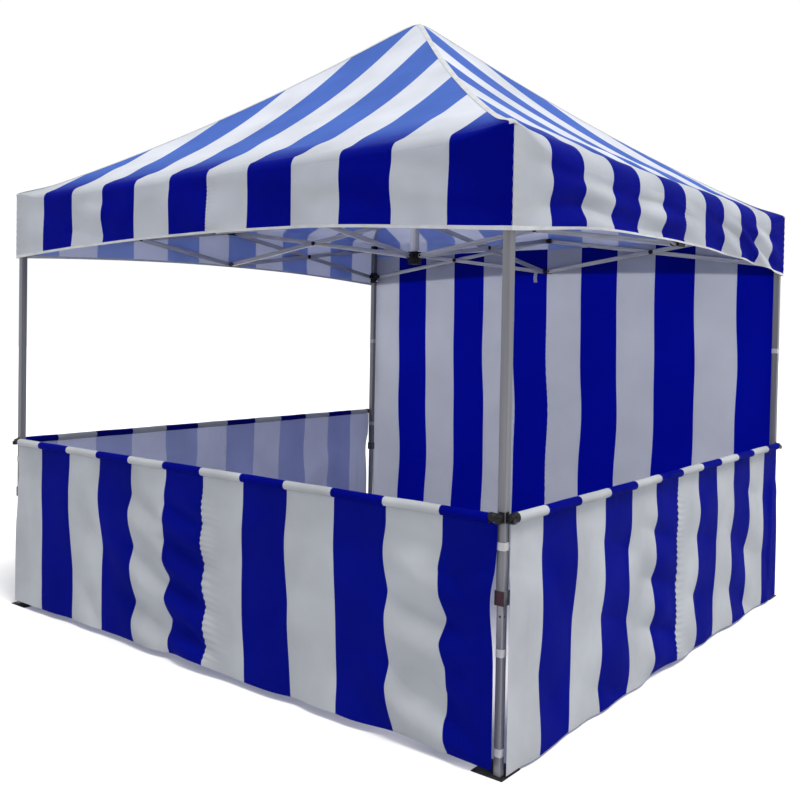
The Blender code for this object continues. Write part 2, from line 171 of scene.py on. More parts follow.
def cloth_material(name, colour, roughness, let_through, glow, lit_slope_colour=None):
    """Coated polyester: a fine weave, soft crumples and faint shade changes, all on the cloth's own UVs.
    It lets a share of the light through in the colour glow. The lighter roof colour, if given, is painted
    light from the eave up, for the sky's light on the upper slope; the roof's UVs are at ROOF_V at the eave."""
    look = Look(name, roughness)
    uv = look.node("ShaderNodeTexCoord").outputs["UV"]
    patches = look.noise(uv, 3.2, 5.0)
    shade = look.ramp(patches, scaled(colour, 0.84), scaled(colour, 1.10))
    # Painted light: from the eave up a lighter colour is blended in, for the sky's light on the upper roof.
    if lit_slope_colour:
        height = look.node("ShaderNodeSeparateXYZ")
        look.link(uv, height.inputs["Vector"])
        lit_slope_blend = look.node("ShaderNodeMapRange", interpolation_type="SMOOTHSTEP")
        lit_slope_blend.inputs["From Min"].default_value = ROOF_V + LIT_SLOPE_START
        lit_slope_blend.inputs["From Max"].default_value = ROOF_V + LIT_SLOPE_END
        look.link(height.outputs["Y"], lit_slope_blend.inputs["Value"])
        mixed = look.node("ShaderNodeMix", data_type="RGBA")
        look.link(lit_slope_blend.outputs["Result"], mixed.inputs[0])
        look.link(shade, mixed.inputs[6])
        look.link(look.ramp(patches, scaled(lit_slope_colour, 0.88), scaled(lit_slope_colour, 1.10)), mixed.inputs[7])
        shade = mixed.outputs[2]
    look.link(shade, look.shader.inputs["Base Color"])
    look.values(look.noise(uv, 9.0, 4.0), roughness - 0.08, roughness + 0.14, "Roughness")
    warp = look.node("ShaderNodeTexWave", bands_direction="X")
    weft = look.node("ShaderNodeTexWave", bands_direction="Y")
    for wave in (warp, weft):
        wave.inputs["Scale"].default_value = WEAVE_SCALE
        wave.inputs["Distortion"].default_value = 0.6
        look.link(uv, wave.inputs["Vector"])
    weave = look.node("ShaderNodeMath", operation="MAXIMUM")
    look.link(warp.outputs["Fac"], weave.inputs[0])
    look.link(weft.outputs["Fac"], weave.inputs[1])
    crumple = look.bump(look.noise(uv, 24.0, 6.0), 0.0022, 0.45)
    crease = look.bump(look.noise(uv, 6.0, 5.0, (1.0, 0.6, 1.0)), 0.010, 0.55, crumple)
    normal = look.bump(weave.outputs["Value"], 0.0003, 0.5, crease)
    look.link(normal, look.shader.inputs["Normal"])
    brightest = max(colour)
    tint = tuple(c / brightest for c in colour)
    look.shader.inputs["Sheen Weight"].default_value = 0.03
    look.shader.inputs["Sheen Roughness"].default_value = 0.5
    look.shader.inputs["Sheen Tint"].default_value = (*tint, 1.0)
    look.shader.inputs["Specular IOR Level"].default_value = 0.05
    look.shader.inputs["Specular Tint"].default_value = (*tint, 1.0)
    look.shader.inputs["IOR"].default_value = 1.25
    through = look.node("ShaderNodeBsdfTranslucent")
    through.inputs["Color"].default_value = (*glow, 1.0)
    both = look.node("ShaderNodeMixShader")
    both.inputs["Fac"].default_value = let_through
    look.link(look.shader.outputs["BSDF"], both.inputs[1])
    look.link(through.outputs["BSDF"], both.inputs[2])
    look.link(both.outputs["Shader"], look.tree.nodes["Material Output"].inputs["Surface"])
    return look.material


def metal_material(name, colour, roughness, streak):
    """Satin painted tube: streaks along the tube, fine speckle, rubbed and dulled patches."""
    look = Look(name, roughness, 0.6)
    where = look.node("ShaderNodeTexCoord").outputs["Object"]
    streaks = look.noise(where, 60.0, 4.0, streak)
    look.link(look.ramp(streaks, scaled(colour, 0.80), scaled(colour, 1.10)),
              look.shader.inputs["Base Color"])
    look.values(look.noise(where, 5.0, 5.0), roughness - 0.10, roughness + 0.16, "Roughness")
    speckle = look.bump(look.noise(where, 900.0, 2.0), 0.00006, 0.5)
    scratch = look.bump(streaks, 0.00012, 0.4, speckle)
    look.link(scratch, look.shader.inputs["Normal"])
    return look.material


def plastic_material(name, colour, roughness=0.48):
    """Moulded nylon: spark-eroded grain and greyed, scuffed patches."""
    look = Look(name, roughness)
    where = look.node("ShaderNodeTexCoord").outputs["Object"]
    scuffs = look.noise(where, 18.0, 6.0)
    look.link(look.ramp(scuffs, colour, scaled(tuple(c + 0.006 for c in colour), 1.5), 0.45, 0.8),
              look.shader.inputs["Base Color"])
    look.values(look.noise(where, 40.0, 3.0), roughness - 0.10, roughness + 0.14, "Roughness")
    look.link(look.bump(look.noise(where, 1400.0, 2.0), 0.00008, 0.5), look.shader.inputs["Normal"])
    look.shader.inputs["Specular IOR Level"].default_value = 0.16
    return look.material


def webbing_material(name, colour):
    """Woven tape: ribs across, with a soft nap."""
    look = Look(name, 0.85)
    uv = look.node("ShaderNodeTexCoord").outputs["UV"]
    look.link(look.ramp(look.noise(uv, 14.0, 4.0), scaled(colour, 0.82), scaled(colour, 1.1)),
              look.shader.inputs["Base Color"])
    ribs = look.node("ShaderNodeTexWave", bands_direction="Y")
    ribs.inputs["Scale"].default_value = 160.0
    ribs.inputs["Distortion"].default_value = 0.8
    look.link(uv, ribs.inputs["Vector"])
    nap = look.bump(look.noise(uv, 500.0, 3.0), 0.0002, 0.5)
    look.link(look.bump(ribs.outputs["Fac"], 0.0004, 0.6, nap), look.shader.inputs["Normal"])
    look.shader.inputs["Sheen Weight"].default_value = 0.3
    return look.material


BLUE = (0.0005, 0.0015, 0.135)  # the printed side
WHITE = (0.375, 0.392, 0.402)
SKY_BLUE = (0.38, 0.52, 0.82)  # the roof's unprinted side, lit through the cloth
SKY_WHITE = (0.57, 0.58, 0.69)
WHITE_GLOW = (0.80, 0.84, 1.0)  # the light that white cloth lets through
WALL_GLOW = (0.20, 0.30, 1.0)  # and a wall's blue
ALONG_LEG = (1.0, 1.0, 0.02)  # the metals' streaks, stretched along their tubes
ALONG_BAR = (0.1, 0.1, 1.0)
# The roof's outside colours turn lighter up the slope: painted light for the sky's light on the upper roof.
roof_blue = cloth_material("roof_blue", BLUE, 0.62, 0.12, (0.05, 0.10, 1.0), lit_slope_colour=(0.048, 0.101, 0.32))
roof_white = cloth_material("roof_white", WHITE, 0.62, 0.25, WHITE_GLOW, lit_slope_colour=(0.48, 0.50, 0.53))
roof_blue_in = cloth_material("roof_blue_inside", SKY_BLUE, 0.75, 0.45, (0.34, 0.48, 1.0))
roof_white_in = cloth_material("roof_white_inside", SKY_WHITE, 0.75, 0.50, WHITE_GLOW)
wall_blue = cloth_material("wall_blue", BLUE, 0.66, 0.12, WALL_GLOW)
# The walls' white is a slightly darker copy of the white print: painted shade.
wall_white = cloth_material("wall_white", scaled(WHITE, 0.93), 0.66, 0.18, WHITE_GLOW)
# The walls' inside colours are paler than the print: partly the unprinted back, partly painted light for the
# light through the cloth.
wall_blue_in = cloth_material("wall_blue_inside", (0.52, 0.57, 0.78), 0.75, 0.35, (0.40, 0.50, 1.0))
wall_white_in = cloth_material("wall_white_inside", (0.70, 0.71, 0.84), 0.75, 0.35, WHITE_GLOW)
# turned_blue and turned_white are lighter copies of the printed blue and white: painted light for the inside
# of the canopy, which gets less light.
turned_blue = cloth_material("turned_blue", (0.0016, 0.005, 0.165), 0.70, 0.42, (0.008, 0.018, 0.66))
turned_white = cloth_material("turned_white", (0.47, 0.485, 0.52), 0.70, 0.52, (0.70, 0.715, 0.77))
back_blue = cloth_material("turned_blue_back", (0.09, 0.15, 0.45), 0.75, 0.45, WALL_GLOW)
back_white = cloth_material("turned_white_back", (0.52, 0.54, 0.62), 0.75, 0.50, (0.90, 0.92, 1.0))
binding = webbing_material("white_binding", (0.36, 0.37, 0.39))
hem_white = webbing_material("hem_tape", (0.48, 0.49, 0.52))
strap_grey = webbing_material("strap_grey", (0.33, 0.33, 0.36))
leg_metal = metal_material("leg_metal", (0.15, 0.152, 0.17), 0.46, ALONG_LEG)
inner_metal = metal_material("inner_leg_metal", (0.20, 0.20, 0.225), 0.42, ALONG_LEG)
bar_metal = metal_material("bar_metal", (0.34, 0.345, 0.38), 0.42, ALONG_BAR)
rail_metal = metal_material("rail_metal", (0.26, 0.27, 0.29), 0.40, ALONG_BAR)
steel = metal_material("bright_steel", (0.62, 0.62, 0.64), 0.28, (0.3, 0.3, 1.0))
black = plastic_material("black_nylon", (0.004, 0.004, 0.005))
# The pole and the upper hub's guide are a lighter grey than the legs: painted light, for the light that falls
# on the pole.
pole_metal_painted_light = metal_material("pole_metal_painted_light", (0.42, 0.425, 0.46), 0.42, ALONG_LEG)
collar_grey = plastic_material("collar_grey", (0.060, 0.060, 0.070), 0.50)
maroon = plastic_material("maroon_lock", (0.024, 0.007, 0.014), 0.42)

# Each set has the outside's blue, white and tape, then the inside's.
ROOF_SET = [roof_blue, roof_white, binding, roof_blue_in, roof_white_in, binding]
WALL_SET = [wall_blue, wall_white, hem_white, wall_blue_in, wall_white_in, hem_white]
# The full wall is hung with its printed side in.
TURNED_SET = [back_blue, back_white, hem_white, turned_blue, turned_white, hem_white]
BLUE_SLOT, WHITE_SLOT, TAPE_SLOT = 0, 1, 2


# ---------------- building

def quarter(k):
    """The turn that takes side 0 to side k, and corner 0 to corner k."""
    return Matrix.Rotation(k * math.pi / 2, 4, "Z")


def side_to_row(k, t, out, z):
    """Points along side k, outwards and up, in the canopy's frame: side 0 faces -y, side 1 faces +x."""
    x, y = np.asarray(t, float), -np.asarray(out, float)
    for _ in range(k % 4):
        x, y = -y, x
    return np.stack([x, y, np.broadcast_to(z, x.shape)], -1)


def new_mesh(name, points, faces):
    mesh = bpy.data.meshes.new(name)
    mesh.from_pydata(points, [], faces)
    return mesh


def new_object(name, data):
    made = bpy.data.objects.new(name, data)
    bpy.context.scene.collection.objects.link(made)
    return made


def add_object(name, mesh, materials, body, replaced=()):
    """A piece that rides on a body, in place of the CAD nodes that are named in replaced."""
    made = new_object(name, mesh)
    for material in materials:
        mesh.materials.append(material)
    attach(made, body)
    if replaced:
        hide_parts(*replaced)
    return made


class Cloth:
    """A cloth mesh put together from grids. A grid's rows run from the bottom up."""

    def __init__(self):
        self.points, self.faces, self.slots, self.uvs = [], [], [], []

    def grid(self, points, uv, slot_of):
        """points is rows x columns x 3, uv rows x columns x 2, and slot_of(column, row) a face's material."""
        rows, columns = points.shape[:2]
        first = len(self.points)
        self.points += [tuple(p) for p in points.reshape(-1, 3)]
        flat_uv = uv.reshape(-1, 2)
        for j in range(rows - 1):
            for i in range(columns - 1):
                corners = [j * columns + i, j * columns + i + 1,
                           (j + 1) * columns + i + 1, (j + 1) * columns + i]
                self.faces.append([first + c for c in corners])
                self.slots.append(slot_of(i, j))
                self.uvs += [flat_uv[c] for c in corners]

    def build(self, name, materials, body, replaced):
        mesh = new_mesh(name, self.points, self.faces)
        layer = mesh.uv_layers.new(name="UVMap")
        layer.data.foreach_set("uv", np.array(self.uvs, np.float32).ravel())
        mesh.polygons.foreach_set("material_index", self.slots)
        mesh.shade_smooth()
        tidy = bmesh.new()
        tidy.from_mesh(mesh)
        bmesh.ops.remove_doubles(tidy, verts=tidy.verts, dist=1e-5)
        bmesh.ops.dissolve_degenerate(tidy, edges=tidy.edges, dist=1e-6)
        tidy.to_mesh(mesh)
        tidy.free()
        made = add_object(name, mesh, materials, body, replaced)
        solid = made.modifiers.new("thickness", "SOLIDIFY")
        solid.thickness = CLOTH
        solid.offset = -1.0
        solid.material_offset = len(materials) // 2
        # The broad faces set the shading right up to the edges, so that no line shows where pieces meet.
        shading = made.modifiers.new("shading", "WEIGHTED_NORMAL")
        shading.weight = 100
        return made


def steps(low, high, count):
    """Evenly spaced numbers with count gaps between them."""
    return np.linspace(low, high, count + 1)


def ease(x):
    """From 0 to 1, smooth at both ends."""
    x = np.clip(x, 0.0, 1.0)
    return x * x * (3 - 2 * x)


def ripple(t, z, waves):
    """A sum of waves: (waves to a metre along t, and along z, phase, share of the depth)."""
    total = np.zeros(np.broadcast(t, z).shape)
    for along, up, phase, share in waves:
        total = total + share * np.sin(2 * math.pi * (along * t + up * z) + phase)
    return total


def local_folds(t, z, folds):
    """Folds that lie in one place: (middle, spread, waves to a metre along t, and along z, phase, depth).
    They are round on top and tight in the hollows, as cloth folds are."""
    total = np.zeros(np.broadcast(t, z).shape)
    for middle, spread, along, up, phase, depth in folds:
        place = np.exp(-((t - middle) / spread) ** 2)
        wave = np.sin(2 * math.pi * (along * t + up * z) + phase + 0.5 * np.sin(7 * t + 3 * z))
        total = total + depth * place * (2.2 * np.sqrt((wave + 1.04) / 2) - 1.45)
    return total


def pucker(t, z, depth, pitch):
    """The gathers along the middle seam, which run further into the stripe after it."""
    reach = np.exp(-np.maximum(t, 0) / 0.045) * np.exp(-np.maximum(-t, 0) / 0.012)
    lines = np.sin(2 * math.pi * z / pitch + 2.6 * np.sin(9 * z) + 1.7 * np.sin(23 * z) + 22 * t)
    return depth * reach * (lines - 0.8)


def stripe_columns(half, each, fine=0):
    """Columns for a panel's stripes, cut off at half its width, with the stripe of each column of faces.
    fine adds columns to the stripe after the middle seam."""
    columns, stripe_of = [], []
    for i in range(STRIPES):
        low = max(-half, (i - SEAM_SIDE) * STRIPE)
        high = min(half, (i + 1 - SEAM_SIDE) * STRIPE)
        count = each + (fine if i == SEAM_SIDE else 0)
        columns += list(steps(low, high, count)[:-1])
        stripe_of += [i] * count
    return np.array(columns + [half]), stripe_of


def stripe_slot(stripe):
    """From outside, each side runs from a white stripe at its start to a blue one at its end."""
    return WHITE_SLOT if stripe % 2 == 0 else BLUE_SLOT


# ---------------- the roof

def roof_height(share):
    """The roof's height at a share of the way from the peak to the eave, with a rounded peak."""
    soft = (np.sqrt(share ** 2 + PEAK_ROUND ** 2) - PEAK_ROUND) / (1 - PEAK_ROUND)
    return PEAK - (PEAK - EAVE) * soft - 4 * ROOF_SAG * soft * (1 - soft)


EAVE_SLOPE = math.atan(((PEAK - EAVE) - 4 * ROOF_SAG) / HALF)
EAVE_TURN = math.pi / 2 - EAVE_SLOPE
EAVE_SLACK = {0: 0.036, 1: 0.090, 2: 0.032, 3: 0.032}  # how much rounder each eave is between its corners


def eave_round(k, t):
    """The eave's radius along side k, and where its round turns into the slope and into the valance."""
    radius = EAVE_ROUND + EAVE_SLACK[k] * ease((HALF - np.abs(t)) / EAVE_SLACK_REACH)
    out = HALF - radius + radius * math.cos(EAVE_TURN)
    return radius, out, EAVE + math.tan(EAVE_SLOPE) * (HALF - out) - radius * math.sin(EAVE_TURN)


def shoulder(t, out):
    """How far the leg under the nearest corner lifts the cloth."""
    return (SHOULDER * ease(1 - (HALF - np.abs(t)) / SHOULDER_REACH)
            * ease(1 - (HALF - out) / SHOULDER_REACH))


# Slack rolls along the lower slope: (rolls to a metre outwards, and along t, phase, height) for each side.
EAVE_ROLLS = {0: (3.6, 0.45, 0.8, 0.0035), 1: (3.4, 0.30, 0.3, 0.0045), 2: (4.4, -0.3, 1.9, 0.0040),
              3: (4.0, 0.5, 2.6, 0.0035)}


def roof_lift(k, t, share):
    """Small ups and downs of one slope: nothing at the hips, the eave and the peak."""
    inside = np.clip(1 - np.abs(t) / np.maximum(share * HALF, 1e-6), 0, 1)
    window = ease(inside * 2.2) * ease((1 - share) * 5) * ease(share * 5)
    broad = ripple(t, share, [(0.8, 0.4, 0.4 + k, 0.6), (1.8, -1.2, 1.1 + 2 * k, 0.3)])
    droop = -0.020 * ease(inside * 1.3) * np.sin(math.pi * np.clip(share, 0, 1))
    outwards, along, phase, high = EAVE_ROLLS[k]
    rolls = ripple(t, share * HALF, [(along, outwards, phase, 1.0), (-along, outwards * 1.7, phase, 0.3)])
    slope_end = eave_round(k, 0.0)[1] / HALF
    near_eave = ease((share - 0.66) / 0.22) * ease((slope_end - share) / 0.045) * ease(inside * HALF / 0.35)
    return window * 0.005 * broad + high * rolls * near_eave + droop


def add_roof_half(k, half):
    """Half of one slope, from the seam in its middle to the hip, with the hip's tape on end halves."""
    sign = 1 if half == "end" else -1
    each = 8  # columns to a stripe
    columns = steps(0.0, SEAM_SIDE * STRIPE, SEAM_SIDE * each)
    columns[-1] = HALF
    rows = steps(0.0, 1.0, 64)
    arc = steps(0.0, EAVE_TURN, 8)[:-1]
    grid_t, grid_v = np.meshgrid(columns, rows)
    radius, round_out, round_z = eave_round(k, grid_t)
    top_share = round_out / HALF
    share = top_share - grid_v * (top_share - np.minimum(grid_t / HALF, top_share))
    t, out = sign * np.minimum(grid_t, share * HALF), share * HALF
    z = roof_height(share) + roof_lift(k, t, share) + shoulder(t, out)
    arc_t, arc_a = np.meshgrid(columns, arc)
    arc_out = HALF - radius[0] + radius[0] * np.cos(arc_a)
    arc_z = round_z[0] + radius[0] * np.sin(arc_a) + shoulder(arc_t, HALF)
    t = np.concatenate([sign * np.minimum(arc_t, arc_out), t])
    out = np.concatenate([arc_out, out])
    z = np.concatenate([arc_z, z])
    points = side_to_row(k, t, out, z)
    uv = np.stack([t + UV_SIDE * k, ROOF_V + (HALF - out) * 1.2], -1)
    if sign < 0:
        points, uv = points[:, ::-1], uv[:, ::-1]

    def slot_of(i, j):
        column = i if sign > 0 else len(columns) - 2 - i
        from_seam = column // each
        return stripe_slot(SEAM_SIDE + from_seam if sign > 0 else SEAM_SIDE - 1 - from_seam)

    cloth = Cloth()
    cloth.grid(points, uv, slot_of)
    if sign > 0:
        add_hip_tape(cloth, k)
    name = f"roof_{SIDES[k]}_{half}"
    made = cloth.build(name, ROOF_SET, f"bar_{SIDES[k]}_{half}_inner", ("canopy",))
    up_slope = side_to_row(k, 0.0, -HALF, PEAK - EAVE)
    anchor = side_to_row(k, 0.0, HALF, EAVE)
    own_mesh(made)


TAPE_HALF = 0.019  # width of the hip's tape on each slope
TAPE_LIFT = 0.0015  # its edges above the cloth
RIDGE_LIFT = 0.0034  # and its middle


def add_hip_tape(cloth, k):
    """The binding over the hip at corner k, folded over both slopes and round the eave."""
    radius, round_out, round_z = eave_round(k, HALF)
    turn = steps(0.0, EAVE_TURN, 7)[:-1]
    share = np.concatenate([steps(round_out / HALF, 0.04, 60), [0.02, 0.006]])
    out = np.concatenate([HALF - radius + radius * np.cos(turn), share * HALF])
    z = np.concatenate([round_z + radius * np.sin(turn) + SHOULDER,
                        roof_height(share) + shoulder(share * HALF, share * HALF)])
    tilt = np.concatenate([turn, np.full(len(share), EAVE_TURN)])
    wide = np.minimum(TAPE_HALF, out)

    def row(lift, inwards):
        """Places out, along and up for one edge of the tape, or for its middle if inwards is 0."""
        return out + lift * np.cos(tilt), out - inwards * wide, z + lift * np.sin(tilt)

    side_out, side_t, side_z = row(TAPE_LIFT, 1.0)
    first = side_to_row(k, side_t, side_out, side_z)
    last = side_to_row(k + 1, -side_t, side_out, side_z)
    ridge_out, _, ridge_z = row(RIDGE_LIFT, 0.0)
    ridge = side_to_row(k, ridge_out, ridge_out, ridge_z)
    strip = np.stack([first, ridge, last], 1)
    length = np.cumsum(np.concatenate([[0], np.linalg.norm(np.diff(ridge, axis=0), axis=1)]))
    uv = np.stack(np.meshgrid([0.0, 0.020, 0.040], length), -1)
    cloth.grid(strip, uv, lambda i, j: TAPE_SLOT)


# ---------------- the valances

HEM_DROP = 0.018  # how much lower the hem hangs at the front right corner
HEM_TAPE = 0.045  # share of a valance's height that its hem tape takes
# For each side: the waves, their depth, how far the middle of the hem rises, and folds in one place.
VALANCES = {
    0: ([(0.7, 1.2, 0.6, 0.6), (1.7, 2.6, 1.9, 0.45), (3.2, -2.0, 0.3, 0.2)], 0.0055, 0.050,
        [(-0.80, 0.22, 0.5, 4.6, 2.6, 0.009), (0.95, 0.35, 0.3, 4.2, 2.9, 0.005)]),
    1: ([(0.9, 1.0, 2.2, 0.6), (2.3, 3.0, 0.4, 0.4)], 0.0040, 0.062,
        [(-0.95, 0.36, 0.10, 6.9, 3.6, 0.0150), (-0.30, 0.34, 0.35, 6.6, 3.0, 0.0140),
         (0.60, 0.26, 1.60, 6.4, 0.4, 0.0130), (1.10, 0.30, 1.90, 6.9, 1.3, 0.0190)]),
    2: ([(0.8, -1.2, 1.2, 0.6), (2.0, 2.4, 2.6, 0.5)], 0.0050, 0.048,
        [(0.50, 0.40, 0.6, 5.2, 0.9, 0.006)]),
    3: ([(0.9, 1.0, 2.9, 0.6), (2.1, -2.2, 0.8, 0.5)], 0.0050, 0.050,
        [(-0.60, 0.35, -0.5, 5.0, 1.2, 0.007)]),
}


def low_corner(k, t):
    """How far the hem hangs down towards the front right corner, along the two sides that meet there."""
    if k == 0:
        return HEM_DROP * ease(1 - (HALF - t) / 1.0)
    return HEM_DROP * ease(1 - (HALF + t) / 0.7) if k == 1 else 0.0


def add_valance(k):
    """One side's valance, from the eave's round to its hem, with the hem's tape along its lower edge."""
    columns, stripes = stripe_columns(SEAM_SIDE * STRIPE, 12, 12)
    columns[0], columns[-1] = -HALF, HALF
    high = eave_round(k, columns)[2] + shoulder(columns, HALF) - VALANCE
    t, up = np.meshgrid(columns, np.concatenate([[0.0, HEM_TAPE], steps(HEM_TAPE, 1.0, 38)[1:]]))
    z = VALANCE + high * up
    down = 1 - up
    waves, deep, arch, folds = VALANCES[k]
    free = ease(down * 3.0)
    edges = ease((HALF - np.abs(t)) / 0.22)
    swing = deep * ripple(t, z, waves) + local_folds(t, z, folds)
    # The truss, and the full wall at the back, hold the cloth out, so it swings less far inwards.
    swing = np.where(swing < 0, swing * (0.05 if k == 2 else 0.6), swing)
    out = HALF + swing * free * edges
    out = out + pucker(t, z, 0.0016, 0.020) * ease(down * 5)
    corner = np.exp(-(HALF - np.abs(t)) / 0.020)
    out = out + 0.0012 * corner * np.sin(2 * math.pi * z / 0.034) * ease(down * 4)
    bow = (arch * (1 - (t / HALF) ** 2) - low_corner(k, t)) * down
    points = side_to_row(k, t, out, z + bow)
    uv = np.stack([t + UV_SIDE * k, z], -1)
    cloth = Cloth()
    cloth.grid(points, uv, lambda i, j: TAPE_SLOT if j == 0 else stripe_slot(stripes[i]))
    made = cloth.build(f"valance_{SIDES[k]}", ROOF_SET, f"middle_top_{SIDES[k]}", ("canopy",))
    along = side_to_row(k, 1.0, 0.0, 0.0)
    middle = side_to_row(k, 0.0, HALF, EAVE)
    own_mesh(made)


# ---------------- the walls

SLEEVE = 0.0178  # radius of the sleeve round the rail
SLEEVE_Z = RAIL_Z - 0.0035  # it hangs from the top of its rail
SLEEVE_END = 1.446  # middle of a side to the sleeve's end
PANEL_HALF = 1.471  # and to the panel's edge
PANEL_OUT = LEG + 0.0225  # middle of the canopy to the panel, before its folds
LEG_FACE = LEG + 0.0182  # clear of the legs' outer faces
FOOT_FACE = LEG + 0.0340  # clear of the foot plates

# For each side: the waves, their depth, folds in one place, and at which end its own leg stands.
HALF_WALLS = {
    0: ([(0.55, 0.45, 0.5, 0.7), (1.35, -0.9, 1.4, 0.55), (2.7, 1.3, 2.1, 0.32),
         (5.1, 0.9, 0.2, 0.12)], 0.0105,
        [(-0.13, 0.13, 1.1, 5.6, 0.6, 0.0260), (1.14, 0.17, 1.3, 3.9, 1.9, 0.0290),
         (1.37, 0.12, 0.6, 6.2, 0.3, 0.0200), (-0.40, 0.16, 1.5, 4.1, 4.2, 0.0240),
         (-0.80, 0.18, 2.3, 2.6, 2.0, 0.0080), (0.42, 0.17, 3.1, -2.2, 1.0, 0.0075),
         (0.86, 0.14, 2.8, -2.4, 0.2, 0.0060)], 1),
    1: ([(0.60, -0.5, 2.0, 0.7), (1.5, 0.9, 0.3, 0.5), (2.9, -1.4, 1.0, 0.30),
         (5.5, -0.8, 1.7, 0.10)], 0.0090,
        [(-0.62, 0.16, 1.4, 3.6, 2.3, 0.0160), (-0.20, 0.16, 0.9, 4.6, 0.2, 0.0170),
         (0.30, 0.16, 1.2, 3.8, 2.6, 0.0130), (0.95, 0.30, 1.3, 3.4, 1.0, 0.0120),
         (-1.20, 0.18, 2.3, 2.2, 0.4, 0.0100)], -1),
    3: ([(0.60, 0.5, 1.2, 0.7), (1.4, 0.9, 2.4, 0.5), (2.8, -1.2, 0.6, 0.30)], 0.0090,
        [(0.40, 0.25, 0.8, 3.2, 1.3, 0.0090), (-0.9, 0.25, 0.9, 2.8, 0.6, 0.0100)], 1),
}

# How far each wall's start and end lap over their legs.
LAPS = {0: (0.004, 0.0), 1: (0.016, 0.0), 3: (0.0, 0.004)}
HEM_RISE = {0: 0.016, 1: 0.0, 3: 0.0}  # how much shorter than its CAD node each wall hangs
FLARE = {0: 0.3, 1: 0.4, 3: 1.0}  # share of the full flare towards the hem
LEAN = {0: 0.036, 1: -0.028, 3: 0.0}  # how far the hem hangs sideways
BOWED_BELOW = 0.006  # an edge that laps less than this bows away from its leg


def add_half_wall(k):
    """A panel that hangs from a sleeve round its rail, in soft folds, strapped to the legs at its ends."""
    waves, deep, folds, end = HALF_WALLS[k]
    columns, stripes = stripe_columns(PANEL_HALF, 14, 14)
    bottom, top = WALL_LOW + HEM_RISE[k], SLEEVE_Z - SLEEVE * 0.86
    rows = np.concatenate([[bottom, bottom + 0.020], steps(bottom + 0.020, top, 112)[1:]])
    t, z = np.meshgrid(columns, rows)
    drop = (top - z) / (top - bottom)
    edge = PANEL_HALF - np.abs(t)
    loose = ease(drop * 4) * (0.55 + 0.45 * drop)
    swing = (deep * ripple(t, z, waves) + local_folds(t, z, folds)) * loose
    flare = FLARE[k] * (0.010 * drop + 0.020 * ease((drop - 0.80) / 0.20))
    held = ease(edge / 0.16)
    out = PANEL_OUT + (swing + flare) * held + pucker(t, z, 0.0028, 0.027) * ease(drop * 6)
    gathers = 0.0013 * np.sin(2 * math.pi * t / 0.052 + 2.0 * np.sin(5 * t))
    out = out + gathers * np.exp(-drop * 11) * ease(drop * 30)
    # By the legs it stays clear of their faces, and low down clear of the foot plates too.
    clear = LEG_FACE + (FOOT_FACE - LEG_FACE) * ease((0.74 - z) / 0.14)
    out = np.maximum(out, clear - 0.030 * ease((edge - 0.09) / 0.12))
    sway = 0.5 * local_folds(t, z + 0.08, folds) + 0.004 * ripple(t, z, [(0.3, 1.3, 0.7 + k, 1.0)])
    sway = sway + LEAN[k] * (drop ** 1.5 - 0.55 * np.exp(-((drop - 0.25) / 0.18) ** 2))
    # Each edge bows away from its leg under the rail, and laps over the leg further down.
    start_lap, end_lap = LAPS[k]
    full_lap = np.where(t < 0, start_lap, end_lap)
    lap = full_lap * ease((drop - 0.15) / 0.20)
    bow = 0.017 * np.exp(-((drop - 0.33) / 0.15) ** 2) * (full_lap < BOWED_BELOW)
    sheet_t = t + sway * loose * ease(edge / 0.12) + np.sign(t) * (lap - bow) * ease(1 - edge / 0.10)
    lift = 0.016 * np.exp(-((t + 0.06) / 0.16) ** 2) + 0.006 * np.exp(-((t - 0.7) / 0.2) ** 2)
    sheet_z = z + lift * ease((drop - 0.86) / 0.14)
    cloth = Cloth()
    uv = np.stack([t + UV_SIDE * k, z + WALL_V], -1)
    cloth.grid(side_to_row(k, sheet_t, out, sheet_z), uv, lambda i, j: stripe_slot(stripes[i]))

    sleeve_columns, sleeve_stripes = stripe_columns(SLEEVE_END, 10)
    turns = np.radians(steps(-125, 235, 20))
    a_t, a = np.meshgrid(sleeve_columns, turns)
    slack = 1 + 0.035 * ripple(a_t, 0 * a, [(2.3, 0, 0.4 + k, 1.0), (4.9, 0, 1.2, 0.6)]) * np.cos(a + 2.0)
    crease = 1 - 0.02 * np.exp(-((a - math.radians(-60)) / 0.5) ** 2) * np.sin(2 * math.pi * a_t / 0.11) ** 2
    sleeve_out = -RAIL_Y + SLEEVE * slack * crease * np.cos(a)
    sleeve_z = SLEEVE_Z + SLEEVE * slack * crease * np.sin(a)
    uv = np.stack([a_t + UV_SIDE * k, SLEEVE * a + SLEEVE_V], -1)
    cloth.grid(side_to_row(k, a_t, sleeve_out, sleeve_z), uv, lambda i, j: stripe_slot(sleeve_stripes[i]))

    rail = f"rail_{SIDES[k]}"
    made = cloth.build(f"half_wall_{SIDES[k]}_cloth", WALL_SET, rail,
                       (f"half_wall_{SIDES[k]}",))
    along = side_to_row(k, 1.0, 0.0, 0.0)
    own_leg = side_to_row(k, end * PANEL_HALF, -RAIL_Y, RAIL_Z)
    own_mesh(made)


